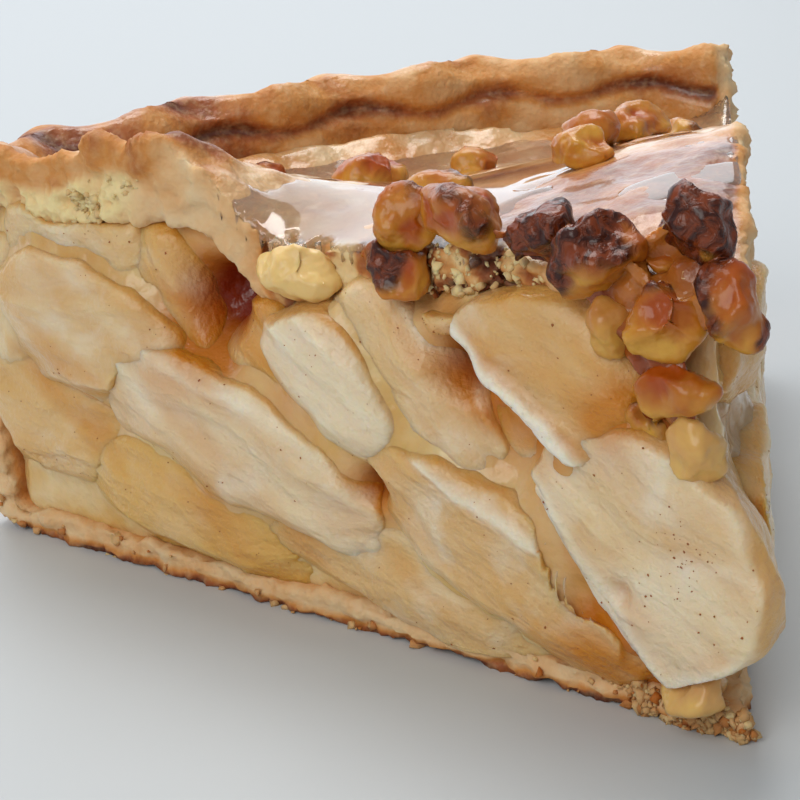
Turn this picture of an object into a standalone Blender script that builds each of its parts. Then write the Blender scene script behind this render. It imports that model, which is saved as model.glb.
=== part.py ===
"""A slice of apple and nut pie, cut as a sixth of a whole pie.

The pie is modelled about its own axis: the point of the slice is near the axis, the
slice's middle line runs along +Y and its rim is 114 mm out. At the end everything is
moved so that the origin is under the middle of the slice, on the surface it stands on.

The pieces are a bottom crust with a crimped rim, a pastry lid, the set juices that run
through the slice, the apple slices that show in its two cut faces, and the chopped nuts.
"""

import math
import random

import bmesh
import bpy
from mathutils import Matrix, Vector, noise

MM = 0.001

# The whole pie and its slice
WEDGE_HALF_ANGLE = math.radians(30)
TIP_SETBACK = 0.5 * MM  # the knife never meets the very middle of the pie
RIM_RADIUS = 114 * MM
RIM_HEIGHT = 46 * MM
BASE_RADIUS = 106 * MM
KNIFE_REACH = 150 * MM
TOUCH_GAP = 0.35 * MM  # pieces that touch keep this much apart
SLIVER = 0.01 * MM

# Bottom crust
BASE_THICKNESS = 3.0 * MM
WALL_TOP_RADIUS = 107.5 * MM
INNER_FLOOR_RADIUS = 102.5 * MM
INNER_LIP_RADIUS = 103.5 * MM
INNER_LIP_HEIGHT = 39 * MM
CRIMPS_PER_PIE = 34
STEPS_PER_CRIMP = 5
CRIMP_PULL = 1.7 * MM  # how far a pinch moves the rim in and out
CRIMP_LIFT = 1.0 * MM

# Pastry lid
LID_RADIUS = 103 * MM
LID_THICKNESS = 5.5 * MM
LID_EDGE_HEIGHT = 34.5 * MM
LID_MIDDLE_HEIGHT = 45 * MM
LID_SHOULDER = (58 * MM, 96 * MM)  # the lid falls from its middle to its edge between these
LID_UPTURN = 4.0 * MM  # how far its very edge turns up against the rim
LID_THICK_SPOT = (74 * MM, -31, 3.2 * MM, 17 * MM)  # distance out, angle, extra, width
GRID_STEP = 6.6 * MM

# The filling inside the slice: its cut faces stand back from the knife's plane, behind the
# apple slices that show in them
FILLING_SETBACK = 3.2 * MM
FRUIT_STANDS_OUT = 9 * MM  # room in front of the cut faces for fruit that stands proud
OUTLINE_BLUNTNESS = 2.7  # 2 is an ellipse, more is nearer to a rectangle
FACE_BLUNTNESS = 4.5  # the same for how flat a slice's cut face is

# Humps that the fruit below pushes up in the lid: distance out, angle, rise, width
LID_HUMPS = (
    (84 * MM, -31, 13.5 * MM, 14.5 * MM),
    (101 * MM, -30, 4.5 * MM, 8 * MM),
    (20 * MM, 12, 4.5 * MM, 13 * MM),
    (43 * MM, 27, 5.0 * MM, 12 * MM),
    (54 * MM, -27, -1.5 * MM, 10 * MM),
    (57.5 * MM, -29, -4.0 * MM, 6 * MM),
    (68 * MM, -30, 2.8 * MM, 4.5 * MM),
    (66 * MM, 2, -2.5 * MM, 12 * MM),
)

# Apple slices in a cut face: (along the cut from the tip, height, half length, half width,
# half depth, tilt in degrees, how far it stands out, how far the lower edge draws back).
# Lengths in mm. Slices listed first lie in front.
NEAR_APPLES = (
    (11.0, 17.6, 12.6, 11.4, 7.0, 22, 3.2, 0.04),
    (28.5, 13.2, 19.0, 7.2, 7.5, 22, 2.4, 0.12),
    (20.0, 36.2, 11.0, 7.0, 7.0, 36, 2.4, -0.08),
    (48.6, 30.2, 9.4, 4.8, 6.0, 40, 3.0, 0.08),
    (38.6, 30.0, 12.6, 6.8, 7.0, 36, 1.6, -0.06),
    (62.5, 18.6, 21.5, 7.4, 8.0, 19, 2.6, 0.10),
    (52.6, 24.6, 15.5, 7.6, 7.5, 36, 1.4, 0.06),
    (84.0, 29.0, 14.0, 7.8, 7.5, 3, 2.2, 0.08),
    (27.0, 27.0, 13.0, 7.5, 6.5, 30, 0.2, 0.00),
    (44.0, 8.4, 23.0, 6.4, 7.0, 11, 1.2, 0.10),
    (70.5, 9.4, 18.0, 7.0, 7.5, 8, 1.2, 0.10),
    (92.5, 14.2, 12.0, 9.0, 7.0, 6, 0.6, 0.10),
    (86.5, 40.0, 12.0, 6.0, 6.5, 0, 1.0, 0.00),
    (28.5, 42.6, 8.6, 4.8, 5.5, -14, 2.0, 0.00),
    (73.5, 34.5, 8.4, 5.4, 5.5, 52, 0.6, 0.00),
    (46.5, 37.4, 9.4, 4.6, 5.5, 12, 0.8, 0.00),
    (98.5, 29.5, 6.4, 7.6, 6.0, 0, 1.2, 0.00),
)
FAR_APPLES = (
    (18.0, 15.0, 14.0, 8.0, 7.0, 24, 2.2, 0.12),
    (40.0, 22.0, 19.0, 7.2, 7.5, 30, 2.0, -0.10),
    (68.0, 14.0, 18.0, 7.6, 7.5, 14, 2.4, 0.14),
    (22.0, 34.0, 12.5, 6.4, 6.5, -20, 1.6, 0.10),
    (62.0, 30.0, 15.0, 5.8, 7.0, 18, 1.8, 0.00),
    (42.0, 8.0, 13.0, 4.4, 6.5, 8, 1.0, 0.16),
    (87.0, 22.0, 9.5, 7.6, 6.5, 34, 1.4, 0.10),
    (44.0, 36.4, 10.5, 4.0, 6.5, 12, 1.0, 0.00),
)

BROKEN_SIDE = 0.74  # how far from a nut's middle its flat sides lie, where its radius is 1

# Nuts that show in the near cut face: (along, height, stands out, length, width, thickness,
# turn in degrees in the face, bend). Lengths in mm.
FACE_NUTS = (
    (7.0, 52.0, -2.0, 8.6, 7.4, 7.0, 20, 0.10),
    (15.8, 48.2, 1.5, 9.6, 8.4, 7.6, -30, 0.15),
    (22.6, 48.6, 0.6, 9.4, 5.4, 6.0, -35, 0.05),
    (31.4, 49.6, 1.0, 10.6, 6.0, 6.6, 12, 0.10),
    (38.6, 48.2, 0.4, 7.6, 7.2, 6.0, -40, 0.10),
    (39.4, 43.2, 1.0, 9.0, 6.8, 6.4, 30, 0.15),
    (13.6, 41.2, 1.8, 7.4, 4.6, 5.0, 80, 0.10),
    (8.0, 43.4, 2.2, 9.4, 7.4, 6.6, -25, 0.15),
    (10.6, 47.9, -1.6, 5.0, 4.4, 4.4, 0, 0.00),
    (1.6, 43.8, 0.4, 11.0, 5.0, 5.6, 82, 0.20),
    (7.0, 36.8, 2.4, 10.2, 5.2, 5.6, -28, 0.45),
    (9.8, 32.4, 1.0, 5.6, 4.8, 4.6, 40, 0.00),
    (4.4, 31.0, 2.0, 8.8, 5.4, 5.4, 78, 0.35),
    (53.0, 41.0, 0.6, 10.4, 6.4, 6.4, 4, 0.05),
    (5.2, 5.6, 1.2, 9.0, 5.6, 6.4, -8, 0.05),
)
# Nuts on the lid: (distance out, angle in degrees, length, width, thickness, turn, bend)
LID_NUTS = (
    (92.0, -9, 9.5, 7.0, 5.6, 20, 0.10),
    (80.0, -2, 11.5, 5.6, 5.4, 75, 0.20),
    (71.0, -7, 9.6, 6.4, 5.4, -60, 0.10),
    (66.0, 20, 9.0, 7.6, 6.0, 35, 0.15),
    (58.0, 13, 8.4, 7.0, 5.6, -20, 0.10),
    (86.0, 8, 9.0, 6.0, 5.2, 60, 0.20),
    (48.0, -12, 8.6, 7.4, 5.6, 10, 0.10),
    (76.0, 25, 8.0, 5.4, 5.0, 0, 0.25),
    (89.5, -19, 8.6, 7.0, 5.6, 70, 0.10),
    (44.0, 8, 7.6, 6.2, 5.0, -45, 0.15),
)

# Linear colours, for the plain views of the model
PASTRY = (0.66, 0.40, 0.17)
LID_PASTRY = (0.72, 0.48, 0.24)
JUICE = (0.62, 0.36, 0.12)
APPLE = (0.80, 0.66, 0.40)
NUT = (0.60, 0.36, 0.16)


def clear_scene():
    for obj in list(bpy.data.objects):
        bpy.data.objects.remove(obj)


def new_collection(name):
    collection = bpy.data.collections.new(name)
    bpy.context.scene.collection.children.link(collection)
    return collection


def finish_material(name, colour, roughness):
    material = bpy.data.materials.new(name)
    material.use_nodes = True
    shader = material.node_tree.nodes["Principled BSDF"]
    shader.inputs["Base Color"].default_value = (*colour, 1)
    shader.inputs["Roughness"].default_value = roughness
    shader.inputs["Metallic"].default_value = 0
    return material


def object_from(bm, name, collection, material=None):
    mesh = bpy.data.meshes.new(name)
    bm.normal_update()
    bm.to_mesh(mesh)
    bm.free()
    obj = bpy.data.objects.new(name, mesh)
    collection.objects.link(obj)
    if material:
        mesh.materials.append(material)
    return obj


def apply_modifiers(obj):
    """Gives the object the mesh that its modifiers make, and removes them."""
    graph = bpy.context.evaluated_depsgraph_get()
    mesh = bpy.data.meshes.new_from_object(obj.evaluated_get(graph))
    obj.modifiers.clear()
    obj.data = mesh


def keep_largest_body(obj):
    """Removes the crumbs that a cut leaves loose."""
    bm = bmesh.new()
    bm.from_mesh(obj.data)
    left = set(bm.verts)
    bodies = []
    while left:
        body = {left.pop()}
        edge_of_search = list(body)
        while edge_of_search:
            vert = edge_of_search.pop()
            for edge in vert.link_edges:
                other = edge.other_vert(vert)
                if other in left:
                    left.remove(other)
                    body.add(other)
                    edge_of_search.append(other)
        bodies.append(body)
    bodies.sort(key=len, reverse=True)
    for body in bodies[1:]:
        bmesh.ops.delete(bm, geom=list(body), context="VERTS")
    bmesh.ops.dissolve_degenerate(bm, edges=bm.edges, dist=SLIVER)
    bmesh.ops.triangulate(bm, faces=bm.faces)
    bm.to_mesh(obj.data)
    bm.free()


def boxes_meet(first, second):
    corners = []
    for obj in (first, second):
        places = [vert.co for vert in obj.data.vertices]
        if not places:
            return False
        corners.append([(min(p[i] for p in places), max(p[i] for p in places)) for i in range(3)])
    return all(a[0] <= b[1] and b[0] <= a[1] for a, b in zip(*corners))


def cut(obj, cutters, operation="DIFFERENCE"):
    """Cuts the object by all the cutters it can meet, in one exact Boolean."""
    met = [cutter for cutter in cutters if boxes_meet(obj, cutter)]
    if not met:
        return
    held = bpy.data.collections.new("cut_tools")
    for cutter in met:
        held.objects.link(cutter)
    modifier = obj.modifiers.new("cut", "BOOLEAN")
    modifier.operation = operation
    modifier.solver = "EXACT"
    modifier.operand_type = "COLLECTION"
    modifier.collection = held
    apply_modifiers(obj)
    bpy.data.collections.remove(held)
    keep_largest_body(obj)


def smooth_step(low, high, value):
    t = min(1, max(0, (value - low) / (high - low)))
    return t * t * (3 - 2 * t)


def lid_height(x, y):
    """Height of the lid's upper surface at a place in the pie."""
    out = math.hypot(x, y)
    fall = smooth_step(*LID_SHOULDER, out)
    height = LID_MIDDLE_HEIGHT + (LID_EDGE_HEIGHT - LID_MIDDLE_HEIGHT) * fall
    for distance, degrees, rise, width in LID_HUMPS:
        angle = math.radians(degrees)
        away = math.hypot(x - distance * math.sin(angle), y - distance * math.cos(angle))
        height += rise * math.exp(-0.5 * (away / width) ** 2)
    ripple = noise.noise(Vector((x, y, 0)) / (14 * MM))
    upturn = LID_UPTURN * smooth_step(LID_SHOULDER[1], LID_RADIUS, out)
    return height + upturn + 1.1 * MM * ripple


def lid_underside(x, y):
    distance, degrees, extra, width = LID_THICK_SPOT
    angle = math.radians(degrees)
    away = math.hypot(x - distance * math.sin(angle), y - distance * math.cos(angle))
    return lid_height(x, y) - LID_THICKNESS - extra * math.exp(-0.5 * (away / width) ** 2)


def wedge_outline(radius, shift):
    """The slice's plan: its point and an arc. shift moves both cut faces out, or in if negative."""
    apex_y = TIP_SETBACK - shift / math.sin(WEDGE_HALF_ANGLE)
    reach = WEDGE_HALF_ANGLE + shift / radius
    steps = 10
    angles = [-reach + 2 * reach * i / steps for i in range(steps + 1)]
    side = Vector((math.sin(WEDGE_HALF_ANGLE), math.cos(WEDGE_HALF_ANGLE)))
    outline = [Vector((0, apex_y))]
    for angle in angles:
        outline.append(Vector((radius * math.sin(angle), radius * math.cos(angle))))
    for index, sign in ((1, -1), (-1, 1)):
        # The arc's ends lie on the cut faces themselves
        length = math.sqrt(radius**2 - (apex_y * math.sin(WEDGE_HALF_ANGLE)) ** 2)
        length -= apex_y * math.cos(WEDGE_HALF_ANGLE)
        outline[index] = Vector((sign * side.x * length, apex_y + side.y * length))
    return outline


def wedge_prism(name, collection, low, high, low_radius, high_radius, shift=0):
    """The space between the two knife cuts, out to a round or slightly conical wall."""
    bm = bmesh.new()
    rings = []
    for height, radius in ((low, low_radius), (high, high_radius)):
        rings.append([bm.verts.new((*p, height)) for p in wedge_outline(radius, shift)])
    for ring in rings:
        bm.faces.new(ring)
    edges = bm.edges[:]
    bmesh.ops.bridge_loops(bm, edges=edges)
    bmesh.ops.recalc_face_normals(bm, faces=bm.faces)
    return object_from(bm, name, collection)


def height_field(name, collection, low, high):
    """A block over the whole slice between two surfaces, each a function of x and y."""
    width = 2 * (LID_RADIUS * math.sin(WEDGE_HALF_ANGLE) + FRUIT_STANDS_OUT + GRID_STEP)
    length = LID_RADIUS + 3 * FRUIT_STANDS_OUT
    bm = bmesh.new()
    bmesh.ops.create_grid(
        bm,
        x_segments=round(width / GRID_STEP),
        y_segments=round(length / GRID_STEP),
        size=0.5,
    )
    bmesh.ops.scale(bm, vec=(width, length, 1), verts=bm.verts)
    bmesh.ops.translate(bm, vec=(0, length / 2 - 2.4 * FRUIT_STANDS_OUT, 0), verts=bm.verts)
    top = bmesh.ops.extrude_face_region(bm, geom=bm.faces[:])["geom"]
    top_verts = {item for item in top if isinstance(item, bmesh.types.BMVert)}
    for vert in bm.verts:
        surface = high if vert in top_verts else low
        vert.co.z = surface(vert.co.x, vert.co.y)
    bmesh.ops.triangulate(bm, faces=bm.faces, quad_method="FIXED")
    bmesh.ops.recalc_face_normals(bm, faces=bm.faces)
    return object_from(bm, name, collection)


def bottom_crust(collection, cutters, material):
    """Base, wall and crimped rim: a turned profile whose rim is pinched, then cut to the slice."""
    profile = (
        (0, 0),
        (BASE_RADIUS - 3 * MM, 0),
        (BASE_RADIUS, 1.5 * MM),
        (WALL_TOP_RADIUS, RIM_HEIGHT - 13 * MM),
        (WALL_TOP_RADIUS + 1.5 * MM, RIM_HEIGHT - 10.5 * MM),
        (RIM_RADIUS - 2 * MM, RIM_HEIGHT - 9.5 * MM),
        (RIM_RADIUS, RIM_HEIGHT - 6 * MM),
        (RIM_RADIUS - 1.5 * MM, RIM_HEIGHT - 1.8 * MM),
        (RIM_RADIUS - 5.5 * MM, RIM_HEIGHT),
        (RIM_RADIUS - 9.3 * MM, RIM_HEIGHT - 2 * MM),
        (INNER_LIP_RADIUS, INNER_LIP_HEIGHT + 0.5 * MM),
        (INNER_LIP_RADIUS - 0.2 * MM, INNER_LIP_HEIGHT - 10 * MM),
        (INNER_FLOOR_RADIUS, BASE_THICKNESS),
        (0, BASE_THICKNESS),
    )
    bm = bmesh.new()
    verts = [bm.verts.new((radius, 0, height)) for radius, height in profile]
    for first, second in zip(verts, verts[1:]):
        bm.edges.new((first, second))
    crust = object_from(bm, "bottom_crust", collection, material)
    screw = crust.modifiers.new("turn", "SCREW")
    screw.steps = CRIMPS_PER_PIE * STEPS_PER_CRIMP
    screw.render_steps = screw.steps
    screw.use_merge_vertices = True
    screw.merge_threshold = 0.01 * MM
    apply_modifiers(crust)

    for vert in crust.data.vertices:
        angle = math.atan2(vert.co.x, vert.co.y)
        out = math.hypot(vert.co.x, vert.co.y)
        share = smooth_step(INNER_LIP_RADIUS, RIM_RADIUS - 7 * MM, out)
        share *= smooth_step(RIM_HEIGHT - 14 * MM, RIM_HEIGHT - 6 * MM, vert.co.z)
        pinch = math.sin(CRIMPS_PER_PIE * angle + 1.1)
        new_out = out + CRIMP_PULL * share * (pinch - 1)
        if out > 0:
            vert.co.x *= new_out / out
            vert.co.y *= new_out / out
        vert.co.z += CRIMP_LIFT * share * math.cos(CRIMPS_PER_PIE * angle + 0.5)
    bm = bmesh.new()
    bm.from_mesh(crust.data)
    bmesh.ops.remove_doubles(bm, verts=bm.verts, dist=0.01 * MM)
    bmesh.ops.recalc_face_normals(bm, faces=bm.faces)
    bm.to_mesh(crust.data)
    bm.free()
    knife = wedge_prism("knife", cutters, -20 * MM, 90 * MM, KNIFE_REACH, KNIFE_REACH)
    cut(crust, [knife], "INTERSECT")
    return crust


def pastry_lid(collection, cutters, material):
    """The lid: an even sheet of pastry that lies over the fruit, cut to the slice."""
    lid = height_field("top_crust", collection, lid_underside, lid_height)
    lid.data.materials.append(material)
    knife = wedge_prism("lid_knife", cutters, 0, 90 * MM, LID_RADIUS, LID_RADIUS)
    cut(lid, [knife], "INTERSECT")
    return lid


def fruit_room(name, collection, cutters, shift):
    """The space that the fruit and its juices fill, from the bottom crust to the lid."""
    floor = BASE_THICKNESS + TOUCH_GAP
    room = height_field(
        name,
        collection,
        lambda x, y: floor,
        lambda x, y: lid_underside(x, y) - TOUCH_GAP,
    )
    knife = wedge_prism(
        name + "_knife",
        cutters,
        -20 * MM,
        INNER_LIP_HEIGHT + 20 * MM,
        INNER_FLOOR_RADIUS - 2 * MM,
        INNER_FLOOR_RADIUS - 0.5 * MM,
        shift,
    )
    cut(room, [knife], "INTERSECT")
    return room


def face_place(side, along, height, out):
    """A place on a cut face, with local y pointing out of it and z up it.

    side is -1 for the near face and 1 for the far one. along is measured from the tip.
    """
    turn = Matrix.Rotation(-side * (math.pi / 2 + WEDGE_HALF_ANGLE), 4, "Z")
    place = Matrix.Translation((-side * along, out, height))
    return Matrix.Translation((0, TIP_SETBACK, 0)) @ turn @ place


def apple_body(name, collection, size, tilt, lean, grow=0.0):
    """A slice of apple: a flat, blunt-edged body. It tapers a little and its ends curl down."""
    length, width, depth = (part + grow for part in size)
    bm = bmesh.new()
    bmesh.ops.create_uvsphere(bm, u_segments=12, v_segments=7, radius=1)
    for vert in bm.verts:
        across, up, out = vert.co
        flat = (abs(across) ** OUTLINE_BLUNTNESS + abs(up) ** OUTLINE_BLUNTNESS) ** (
            FACE_BLUNTNESS / OUTLINE_BLUNTNESS
        )
        spread = (flat + abs(out) ** FACE_BLUNTNESS) ** (1 / FACE_BLUNTNESS)
        across, up, out = across / spread, up / spread, out / spread
        taper = 1 + 0.16 * across
        curl = -0.14 * width * across * across
        vert.co = (length * across, depth * out, width * up * taper + curl)
        vert.co.y += lean * 2 * vert.co.z
    bmesh.ops.rotate(bm, verts=bm.verts, cent=(0, 0, 0), matrix=Matrix.Rotation(tilt, 3, "Y"))
    bmesh.ops.recalc_face_normals(bm, faces=bm.faces)
    return object_from(bm, name, collection)


def nut_body(name, collection, size, bend, seed, grow=0.0):
    """A piece of chopped nut: an uneven lump with flat broken sides, bent like its lobe."""
    chance = random.Random(seed)
    breaks = [Vector(chance.gauss(0, 1) for _ in range(3)).normalized() for _ in range(3)]
    bm = bmesh.new()
    bmesh.ops.create_icosphere(bm, subdivisions=2, radius=1)
    for vert in bm.verts:
        direction = vert.co.normalized()
        uneven = 1 + 0.22 * noise.noise(direction * 1.3 + Vector((seed * 3.7, 0, seed)))
        for side in breaks:
            direction -= side * max(0, direction.dot(side) - BROKEN_SIDE)
        length, thickness, width = (0.5 * part * uneven + grow for part in size)
        vert.co = (length * direction.x, thickness * direction.y, width * direction.z)
        vert.co.z -= bend * size[2] * direction.x**2
    bmesh.ops.recalc_face_normals(bm, faces=bm.faces)
    return object_from(bm, name, collection)


def put(obj, matrix):
    obj.data.transform(matrix)
    return obj


def apple_slices(collection, cutters, room, inner_room, material):
    """The slices in both cut faces: each lies in the fruit's room, in front of the filling."""
    made, grown = [], []
    rows = [(-1, row) for row in NEAR_APPLES] + [(1, row) for row in FAR_APPLES]
    for number, (side, row) in enumerate(rows, 1):
        along, height, length, width, depth, tilt, proud, lean = row
        size = (length * MM, width * MM, depth * MM)
        turn = side * math.radians(tilt)
        matrix = face_place(side, along * MM, height * MM, proud * MM - size[2])
        name = f"apple_slice_{number:02d}"
        body = apple_body(name, collection, size, turn, lean)
        cutter = apple_body(name + "_cutter", cutters, size, turn, lean, TOUCH_GAP)
        put(body, matrix)
        put(cutter, matrix)
        body.data.materials.append(material)
        made.append(body)
        grown.append(cutter)
    for number, body in enumerate(made):
        cut(body, [room], "INTERSECT")
        cut(body, [inner_room, *grown[:number]])
    return made


def nut_pieces(collection, cutters, lid_print, material):
    """Nuts in the near cut face, each with a slightly larger cutter, and nuts that lie on the lid."""
    made, grown = [], []
    places = []
    for along, height, out, length, width, thickness, turn, bend in FACE_NUTS:
        matrix = face_place(-1, along * MM, height * MM, out * MM)
        matrix = matrix @ Matrix.Rotation(-math.radians(turn), 4, "Y")
        places.append((matrix, (length, thickness, width), bend))
    for distance, degrees, length, width, thickness, turn, bend in LID_NUTS:
        angle = math.radians(degrees)
        x = distance * MM * math.sin(angle)
        y = distance * MM * math.cos(angle)
        matrix = Matrix.Translation((x, y, lid_height(x, y) + 0.24 * thickness * MM))
        matrix = matrix @ Matrix.Rotation(math.radians(turn), 4, "Z")
        places.append((matrix, (length, width, thickness), bend * 0.5))
    for number, (matrix, size, bend) in enumerate(places, 1):
        size = tuple(part * MM for part in size)
        name = f"nut_{number:02d}"
        body = nut_body(name, collection, size, bend, number)
        cutter = nut_body(name + "_cutter", cutters, size, bend, number, TOUCH_GAP)
        put(body, matrix)
        put(cutter, matrix)
        body.data.materials.append(material)
        made.append(body)
        grown.append(cutter)
    for number, body in enumerate(made):
        cut(body, grown[:number])
    for body in made[len(FACE_NUTS) :]:
        cut(body, [lid_print])
    return made, grown[: len(FACE_NUTS)]


def centre_on_base(pieces):
    """Moves every piece so that the origin is under the middle of the slice, at its lowest point."""
    places = [vert.co for piece in pieces for vert in piece.data.vertices]
    low = Vector(min(place[i] for place in places) for i in range(3))
    high = Vector(max(place[i] for place in places) for i in range(3))
    middle = (low + high) / 2
    for piece in pieces:
        piece.data.transform(Matrix.Translation((-middle.x, -middle.y, -low.z)))


def main():
    clear_scene()
    pieces = new_collection("apple_nut_pie_slice")
    cutters = new_collection("cutters")
    pastry = finish_material("pastry", PASTRY, 0.6)
    lid_pastry = finish_material("lid_pastry", LID_PASTRY, 0.45)
    juice = finish_material("juice", JUICE, 0.25)
    apple = finish_material("apple", APPLE, 0.35)
    nut = finish_material("nut", NUT, 0.45)

    crust = bottom_crust(pieces, cutters, pastry)
    lid = pastry_lid(pieces, cutters, lid_pastry)
    room = fruit_room("fruit_room", cutters, cutters, FRUIT_STANDS_OUT)
    shift = TOUCH_GAP - FILLING_SETBACK
    inner_room = wedge_prism("inner_room", cutters, 0, 90 * MM, KNIFE_REACH, KNIFE_REACH, shift)
    filling = fruit_room("apple_filling", pieces, cutters, -FILLING_SETBACK)
    filling.data.materials.append(juice)

    lid_print = height_field("lid_print", cutters, lambda x, y: 0, lid_height)
    put(lid_print, Matrix.Translation((0, 0, TOUCH_GAP)))
    nuts, nut_cutters = nut_pieces(pieces, cutters, lid_print, nut)
    apples = apple_slices(pieces, cutters, room, inner_room, apple)
    for body in [*apples, lid, crust]:
        cut(body, nut_cutters)
    cut(filling, nut_cutters)

    for helper in cutters.objects:
        helper.hide_render = True
        helper.display_type = "WIRE"
    shown = [crust, lid, filling, *apples, *nuts]
    for piece in shown:
        piece.data.shade_smooth()
        piece.data.set_sharp_from_angle(angle=math.radians(40))
    centre_on_base(shown)


main()
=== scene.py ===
import math
import random

import bmesh
import bpy
import numpy as np
from mathutils import Matrix, Vector
from mathutils.bvhtree import BVHTree


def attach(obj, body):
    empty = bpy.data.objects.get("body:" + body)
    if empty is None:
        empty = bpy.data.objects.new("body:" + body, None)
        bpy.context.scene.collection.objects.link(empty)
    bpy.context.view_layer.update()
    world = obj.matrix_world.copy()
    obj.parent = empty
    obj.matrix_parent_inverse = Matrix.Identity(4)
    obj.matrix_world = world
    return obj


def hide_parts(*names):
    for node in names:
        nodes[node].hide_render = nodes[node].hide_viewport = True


# A slice of apple pie with a glazed lid and chopped nuts. The frame holds the true sizes; this
# script copies its pieces, gives them their fine relief and finish, and adds glaze, caramel,
# crumbs and spice.

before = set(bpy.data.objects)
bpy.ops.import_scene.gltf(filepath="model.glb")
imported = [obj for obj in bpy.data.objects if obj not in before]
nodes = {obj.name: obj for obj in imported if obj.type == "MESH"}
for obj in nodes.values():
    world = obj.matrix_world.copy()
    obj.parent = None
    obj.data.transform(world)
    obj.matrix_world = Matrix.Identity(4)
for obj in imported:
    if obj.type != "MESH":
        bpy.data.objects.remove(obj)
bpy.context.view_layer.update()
mm = 0.001

sliceNames = sorted(name for name in nodes if name.startswith("apple_slice"))
nutNames = sorted(name for name in nodes if name.startswith("nut_"))

# The whole pie's axis lies just beyond the point of the bottom crust
pointGap = 0.5 * mm
tipVertex = min(nodes["bottom_crust"].data.vertices, key=lambda vertex: vertex.co.y).co
pieAxis = Vector((tipVertex.x, tipVertex.y - pointGap, 0))
cutAngle = math.radians(30)
rimRadius = 114 * mm

nearAlong = np.array((-math.sin(cutAngle), math.cos(cutAngle), 0))
nearOut = np.array((-math.cos(cutAngle), -math.sin(cutAngle), 0))
farAlong = np.array((math.sin(cutAngle), math.cos(cutAngle), 0))
farOut = np.array((math.cos(cutAngle), -math.sin(cutAngle), 0))
up = np.array((0, 0, 1))


def vertexArray(obj, what="co"):
    values = np.empty(len(obj.data.vertices) * 3)
    obj.data.vertices.foreach_get(what, values)
    return values.reshape(-1, 3)


def setVertices(obj, places):
    obj.data.vertices.foreach_set("co", places.ravel())
    obj.data.update()


def paint(obj, name, values):
    # one number for each vertex, which the material reads
    attribute = obj.data.attributes.get(name) or obj.data.attributes.new(name, "FLOAT", "POINT")
    attribute.data.foreach_set("value", np.clip(values, 0, 1).astype(np.float32))


def cloud(places, size, seed=0.0):
    # smooth lumps about size across, from -1 to 1
    turned = places @ np.array(((0.80, 0.36, -0.48), (-0.60, 0.48, -0.64), (0.0, 0.80, 0.60)))
    spot = turned / size + 57.31 + seed * 13.7
    cell = np.floor(spot).astype(np.int64)
    part = spot - cell
    part = part * part * (3 - 2 * part)
    total = np.zeros(len(places))
    for corner in range(8):
        step = np.array((corner & 1, corner >> 1 & 1, corner >> 2))
        mixed = ((cell + step) * np.array((374761393, 668265263, 1442695041))).sum(axis=1)
        mixed = (mixed ^ (mixed >> 13)) * 1274126177 & 0xFFFFFFFF
        mixed = mixed ^ (mixed >> 16)
        weight = np.prod(np.where(step, part, 1 - part), axis=1)
        total += weight * ((mixed & 0xFFFF) / 32767.5 - 1)
    return total


def lumps(places, size, seed=0.0, octaves=3, fade=0.5):
    total, strength = 0, 1
    for octave in range(octaves):
        total = total + strength * cloud(places, size / 2.1**octave, seed + octave * 3.1)
        strength *= fade
    return total


def ease(low, high, value):
    part = np.clip((value - low) / (high - low), 0, 1)
    return part * part * (3 - 2 * part)


def newObject(bm, name):
    mesh = bpy.data.meshes.new(name)
    bm.to_mesh(mesh)
    bm.free()
    obj = bpy.data.objects.new(name, mesh)
    bpy.context.scene.collection.objects.link(obj)
    return obj


def copyNode(nodeName, name):
    bm = bmesh.new()
    bm.from_mesh(nodes[nodeName].data)
    bmesh.ops.remove_doubles(bm, verts=bm.verts, dist=0.001 * mm)
    return newObject(bm, name)


def applyModifiers(obj):
    graph = bpy.context.evaluated_depsgraph_get()
    mesh = bpy.data.meshes.new_from_object(obj.evaluated_get(graph))
    obj.modifiers.clear()
    obj.data = mesh


def remesh(obj, size, smoothing=0, factor=0.5):
    # one closed skin of even small faces
    modifier = obj.modifiers.new("skin", "REMESH")
    modifier.mode = "VOXEL"
    modifier.voxel_size = size
    if smoothing:
        smooth = obj.modifiers.new("soft", "SMOOTH")
        smooth.iterations = smoothing
        smooth.factor = factor
    applyModifiers(obj)


def swell(obj, distance):
    setVertices(obj, vertexArray(obj) + vertexArray(obj, "normal") * distance)


def joined(objects, name):
    bm = bmesh.new()
    for obj in objects:
        bm.from_mesh(obj.data)
    return newObject(bm, name)


def discard(*objects):
    for obj in objects:
        bpy.data.objects.remove(obj)


def pieFrame(places):
    # places measured from the pie's axis: radius, angle from the middle line, height
    x = places[:, 0] - pieAxis.x
    y = places[:, 1] - pieAxis.y
    return np.hypot(x, y), np.arctan2(x, y), places[:, 2]


def faceFrame(places, side="near"):
    # along the cut from the point, height, and distance out of the knife's plane
    along, out = (nearAlong, nearOut) if side == "near" else (farAlong, farOut)
    local = places - np.array((pieAxis.x, pieAxis.y + pointGap, 0))
    return local @ along, places[:, 2], local @ out


def finish(obj, material, slot, *replaced):
    for polygon in obj.data.polygons:
        polygon.use_smooth = True
    obj.data.materials.clear()
    obj.data.materials.append(material)
    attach(obj, "root")
    if replaced:
        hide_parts(*replaced)


def hexColour(text):
    # an sRGB hex colour as the linear colour that a shader takes
    channels = [int(text[i : i + 2], 16) / 255 for i in (1, 3, 5)]
    return (*(c / 12.92 if c <= 0.04045 else ((c + 0.055) / 1.055) ** 2.4 for c in channels), 1)


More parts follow.
